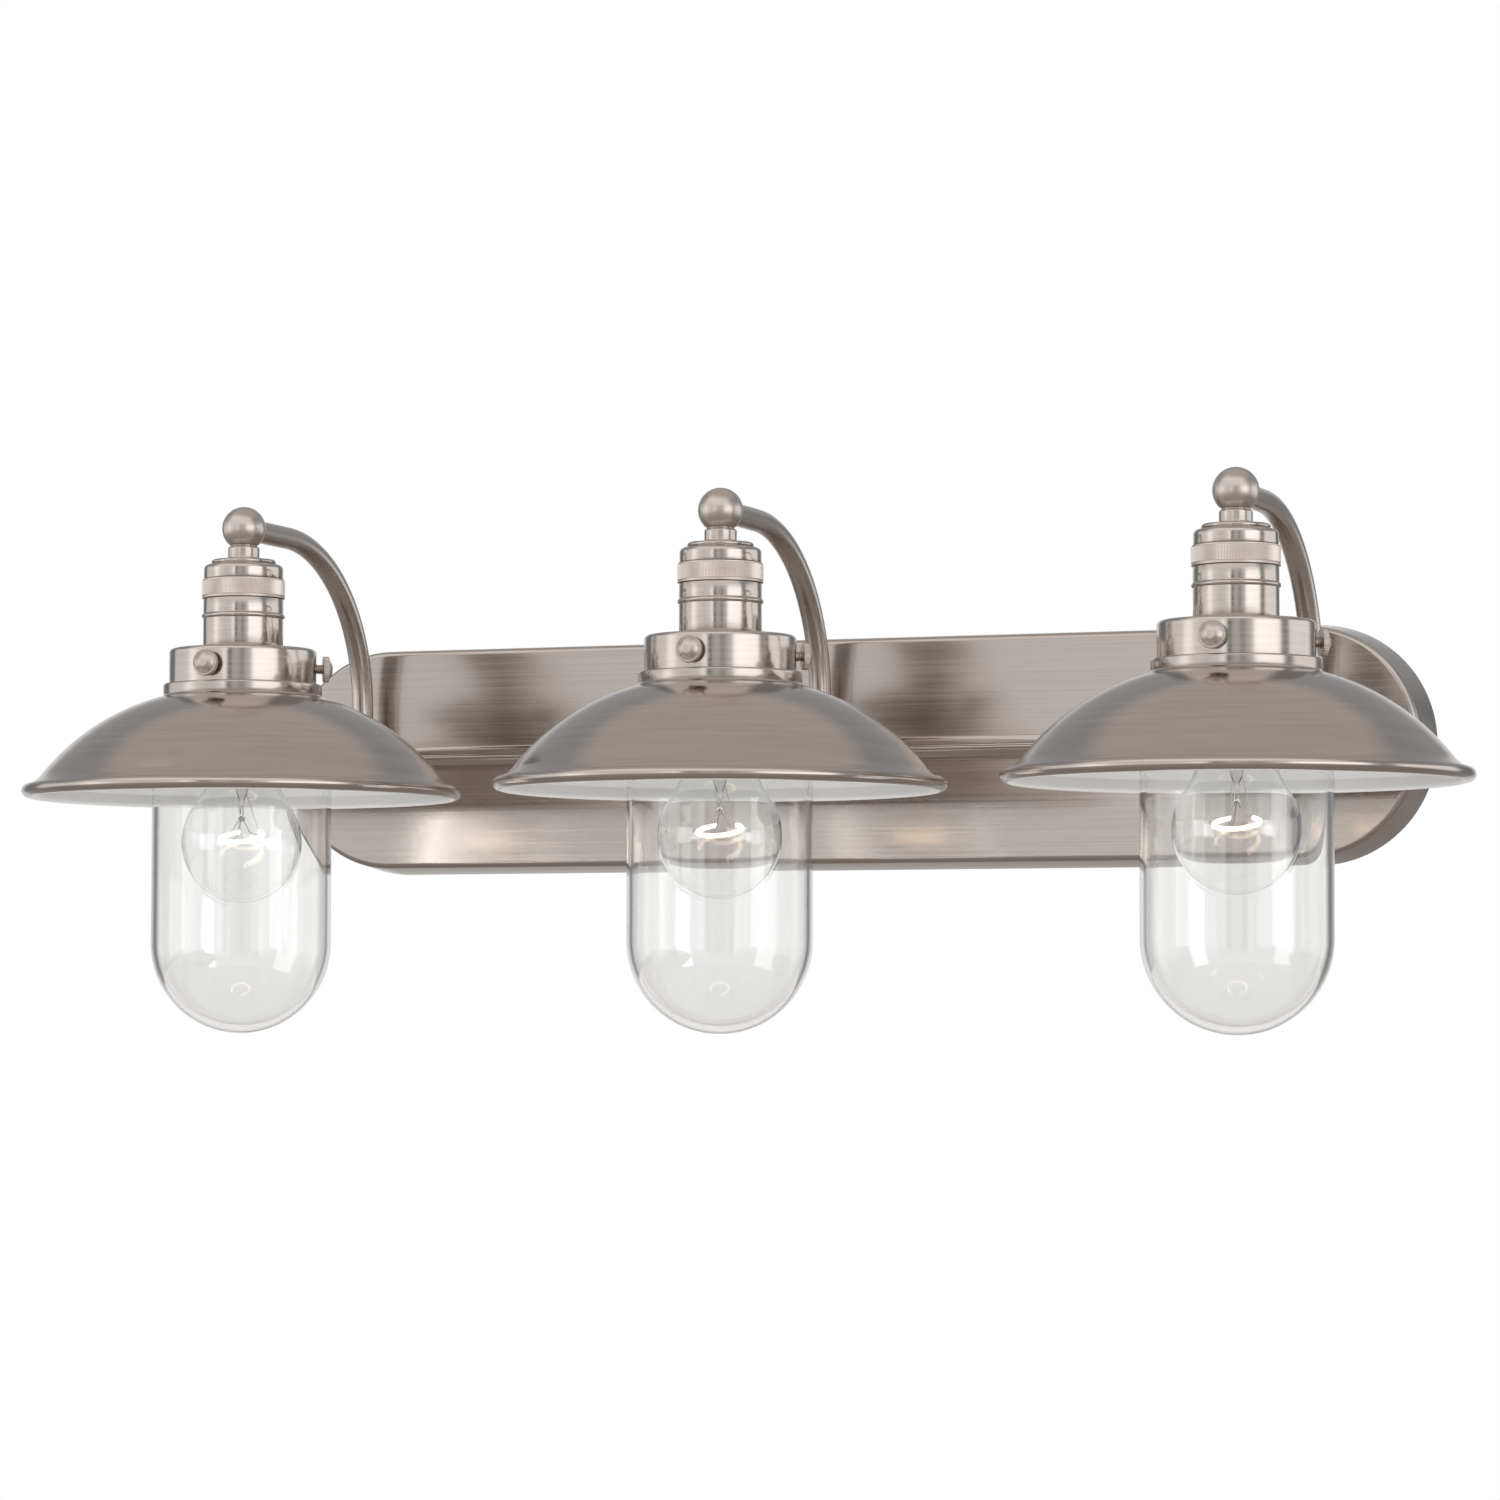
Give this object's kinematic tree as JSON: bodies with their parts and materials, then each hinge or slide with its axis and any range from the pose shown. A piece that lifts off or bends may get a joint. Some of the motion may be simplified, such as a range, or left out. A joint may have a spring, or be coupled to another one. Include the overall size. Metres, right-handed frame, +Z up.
{
  "type": "vanity light bar",
  "caption": "Wall-mounted bath light bar in satin nickel: swept arms on a racetrack plate carry domed metal shades over clear glass jars with screw-in bulbs.",
  "frame": {"origin": "on the wall, at the centre of the crossbar's back face", "axes": "+X along the bar to the viewer's right, +Y into the wall, +Z up"},
  "size_m": [0.734, 0.297, 0.2646],
  "materials": {
    "nickel": "satin nickel plate, brushed",
    "jar_glass": "clear, polished",
    "bulb_glass": "clear, thin",
    "bulb_brass": "rolled thread",
    "porcelain": "white glaze, opaque",
    "zinc_steel": "zinc-plated strip",
    "green_screw": "green dye"
  },
  "bodies": {
    "root": {"backplate": "nickel", "rail": "nickel", "crossbar": "zinc_steel", "mounting_screw_left": "nickel", "mounting_screw_right": "nickel", "ground_screw": "green_screw", "arm_left": "nickel", "ball_left": "nickel", "neck_left": "nickel", "socket_cap_left": "nickel", "knurled_ring_left": "nickel", "socket_cup_left": "nickel", "lampholder_left": "porcelain", "collar_left": "nickel", "shade_left": "nickel", "arm_middle": "nickel", "ball_middle": "nickel", "neck_middle": "nickel", "socket_cap_middle": "nickel", "knurled_ring_middle": "nickel", "socket_cup_middle": "nickel", "lampholder_middle": "porcelain", "collar_middle": "nickel", "shade_middle": "nickel", "arm_right": "nickel", "ball_right": "nickel", "neck_right": "nickel", "socket_cap_right": "nickel", "knurled_ring_right": "nickel", "socket_cup_right": "nickel", "lampholder_right": "porcelain", "collar_right": "nickel", "shade_right": "nickel"},
    "jar_left": {"jar_left": "jar_glass"},
    "bulb_base_left": {"bulb_base_left": "bulb_brass"},
    "bulb_glass_left": {"bulb_glass_left": "bulb_glass"},
    "thumbscrew_shank_front_left": {"thumbscrew_shank_front_left": "nickel"},
    "thumbscrew_head_front_left": {"thumbscrew_head_front_left": "nickel"},
    "thumbscrew_shank_right_left": {"thumbscrew_shank_right_left": "nickel"},
    "thumbscrew_head_right_left": {"thumbscrew_head_right_left": "nickel"},
    "thumbscrew_shank_left_left": {"thumbscrew_shank_left_left": "nickel"},
    "thumbscrew_head_left_left": {"thumbscrew_head_left_left": "nickel"},
    "jar_middle": {"jar_middle": "jar_glass"},
    "bulb_base_middle": {"bulb_base_middle": "bulb_brass"},
    "bulb_glass_middle": {"bulb_glass_middle": "bulb_glass"},
    "thumbscrew_shank_front_middle": {"thumbscrew_shank_front_middle": "nickel"},
    "thumbscrew_head_front_middle": {"thumbscrew_head_front_middle": "nickel"},
    "thumbscrew_shank_right_middle": {"thumbscrew_shank_right_middle": "nickel"},
    "thumbscrew_head_right_middle": {"thumbscrew_head_right_middle": "nickel"},
    "thumbscrew_shank_left_middle": {"thumbscrew_shank_left_middle": "nickel"},
    "thumbscrew_head_left_middle": {"thumbscrew_head_left_middle": "nickel"},
    "jar_right": {"jar_right": "jar_glass"},
    "bulb_base_right": {"bulb_base_right": "bulb_brass"},
    "bulb_glass_right": {"bulb_glass_right": "bulb_glass"},
    "thumbscrew_shank_front_right": {"thumbscrew_shank_front_right": "nickel"},
    "thumbscrew_head_front_right": {"thumbscrew_head_front_right": "nickel"},
    "thumbscrew_shank_right_right": {"thumbscrew_shank_right_right": "nickel"},
    "thumbscrew_head_right_right": {"thumbscrew_head_right_right": "nickel"},
    "thumbscrew_shank_left_right": {"thumbscrew_shank_left_right": "nickel"},
    "thumbscrew_head_left_right": {"thumbscrew_head_left_right": "nickel"}
  },
  "joints": [
    {"name": "jar_drop_left", "type": "slide", "parent": "root", "child": "jar_left", "axis": [0, 0, -1], "range_m": [0, 0.13]},
    {"name": "bulb_travel_left", "type": "slide", "parent": "root", "child": "bulb_base_left", "axis": [0, 0, -1], "range_m": [0, 0.0127]},
    {"name": "bulb_turn_left", "type": "hinge", "parent": "bulb_base_left", "child": "bulb_glass_left", "pos_m": [-0.257, -0.187, -0.028], "axis": [0, 0, -1], "range_deg": [0, 1260]},
    {"name": "thumbscrew_travel_front_left", "type": "slide", "parent": "root", "child": "thumbscrew_shank_front_left", "axis": [0, -1, 0], "range_m": [0, 0.006]},
    {"name": "thumbscrew_turn_front_left", "type": "hinge", "parent": "thumbscrew_shank_front_left", "child": "thumbscrew_head_front_left", "pos_m": [-0.257, -0.187, 0.0377], "axis": [0, -1, 0], "range_deg": [0, 2700]},
    {"name": "thumbscrew_travel_right_left", "type": "slide", "parent": "root", "child": "thumbscrew_shank_right_left", "axis": [0.866, 0.5, 0], "range_m": [0, 0.006]},
    {"name": "thumbscrew_turn_right_left", "type": "hinge", "parent": "thumbscrew_shank_right_left", "child": "thumbscrew_head_right_left", "pos_m": [-0.257, -0.187, 0.0377], "axis": [0.866, 0.5, 0], "range_deg": [0, 2700]},
    {"name": "thumbscrew_travel_left_left", "type": "slide", "parent": "root", "child": "thumbscrew_shank_left_left", "axis": [-0.866, 0.5, 0], "range_m": [0, 0.006]},
    {"name": "thumbscrew_turn_left_left", "type": "hinge", "parent": "thumbscrew_shank_left_left", "child": "thumbscrew_head_left_left", "pos_m": [-0.257, -0.187, 0.0377], "axis": [-0.866, 0.5, 0], "range_deg": [0, 2700]},
    {"name": "jar_drop_middle", "type": "slide", "parent": "root", "child": "jar_middle", "axis": [0, 0, -1], "range_m": [0, 0.13]},
    {"name": "bulb_travel_middle", "type": "slide", "parent": "root", "child": "bulb_base_middle", "axis": [0, 0, -1], "range_m": [0, 0.0127]},
    {"name": "bulb_turn_middle", "type": "hinge", "parent": "bulb_base_middle", "child": "bulb_glass_middle", "pos_m": [0, -0.187, -0.028], "axis": [0, 0, -1], "range_deg": [0, 1260]},
    {"name": "thumbscrew_travel_front_middle", "type": "slide", "parent": "root", "child": "thumbscrew_shank_front_middle", "axis": [0, -1, 0], "range_m": [0, 0.006]},
    {"name": "thumbscrew_turn_front_middle", "type": "hinge", "parent": "thumbscrew_shank_front_middle", "child": "thumbscrew_head_front_middle", "pos_m": [0, -0.187, 0.0377], "axis": [0, -1, 0], "range_deg": [0, 2700]},
    {"name": "thumbscrew_travel_right_middle", "type": "slide", "parent": "root", "child": "thumbscrew_shank_right_middle", "axis": [0.866, 0.5, 0], "range_m": [0, 0.006]},
    {"name": "thumbscrew_turn_right_middle", "type": "hinge", "parent": "thumbscrew_shank_right_middle", "child": "thumbscrew_head_right_middle", "pos_m": [0, -0.187, 0.0377], "axis": [0.866, 0.5, 0], "range_deg": [0, 2700]},
    {"name": "thumbscrew_travel_left_middle", "type": "slide", "parent": "root", "child": "thumbscrew_shank_left_middle", "axis": [-0.866, 0.5, 0], "range_m": [0, 0.006]},
    {"name": "thumbscrew_turn_left_middle", "type": "hinge", "parent": "thumbscrew_shank_left_middle", "child": "thumbscrew_head_left_middle", "pos_m": [0, -0.187, 0.0377], "axis": [-0.866, 0.5, 0], "range_deg": [0, 2700]},
    {"name": "jar_drop_right", "type": "slide", "parent": "root", "child": "jar_right", "axis": [0, 0, -1], "range_m": [0, 0.13]},
    {"name": "bulb_travel_right", "type": "slide", "parent": "root", "child": "bulb_base_right", "axis": [0, 0, -1], "range_m": [0, 0.0127]},
    {"name": "bulb_turn_right", "type": "hinge", "parent": "bulb_base_right", "child": "bulb_glass_right", "pos_m": [0.257, -0.187, -0.028], "axis": [0, 0, -1], "range_deg": [0, 1260]},
    {"name": "thumbscrew_travel_front_right", "type": "slide", "parent": "root", "child": "thumbscrew_shank_front_right", "axis": [0, -1, 0], "range_m": [0, 0.006]},
    {"name": "thumbscrew_turn_front_right", "type": "hinge", "parent": "thumbscrew_shank_front_right", "child": "thumbscrew_head_front_right", "pos_m": [0.257, -0.187, 0.0377], "axis": [0, -1, 0], "range_deg": [0, 2700]},
    {"name": "thumbscrew_travel_right_right", "type": "slide", "parent": "root", "child": "thumbscrew_shank_right_right", "axis": [0.866, 0.5, 0], "range_m": [0, 0.006]},
    {"name": "thumbscrew_turn_right_right", "type": "hinge", "parent": "thumbscrew_shank_right_right", "child": "thumbscrew_head_right_right", "pos_m": [0.257, -0.187, 0.0377], "axis": [0.866, 0.5, 0], "range_deg": [0, 2700]},
    {"name": "thumbscrew_travel_left_right", "type": "slide", "parent": "root", "child": "thumbscrew_shank_left_right", "axis": [-0.866, 0.5, 0], "range_m": [0, 0.006]},
    {"name": "thumbscrew_turn_left_right", "type": "hinge", "parent": "thumbscrew_shank_left_right", "child": "thumbscrew_head_left_right", "pos_m": [0.257, -0.187, 0.0377], "axis": [-0.866, 0.5, 0], "range_deg": [0, 2700]}
  ],
  "couplings": [
    {"joint": "bulb_turn_left", "follows": "bulb_travel_left", "rad_per_m": 1731.5},
    {"joint": "thumbscrew_turn_front_left", "follows": "thumbscrew_travel_front_left", "rad_per_m": 7854},
    {"joint": "thumbscrew_turn_right_left", "follows": "thumbscrew_travel_right_left", "rad_per_m": 7854},
    {"joint": "thumbscrew_turn_left_left", "follows": "thumbscrew_travel_left_left", "rad_per_m": 7854},
    {"joint": "bulb_turn_middle", "follows": "bulb_travel_middle", "rad_per_m": 1731.5},
    {"joint": "thumbscrew_turn_front_middle", "follows": "thumbscrew_travel_front_middle", "rad_per_m": 7854},
    {"joint": "thumbscrew_turn_right_middle", "follows": "thumbscrew_travel_right_middle", "rad_per_m": 7854},
    {"joint": "thumbscrew_turn_left_middle", "follows": "thumbscrew_travel_left_middle", "rad_per_m": 7854},
    {"joint": "bulb_turn_right", "follows": "bulb_travel_right", "rad_per_m": 1731.5},
    {"joint": "thumbscrew_turn_front_right", "follows": "thumbscrew_travel_front_right", "rad_per_m": 7854},
    {"joint": "thumbscrew_turn_right_right", "follows": "thumbscrew_travel_right_right", "rad_per_m": 7854},
    {"joint": "thumbscrew_turn_left_right", "follows": "thumbscrew_travel_left_right", "rad_per_m": 7854}
  ]
}
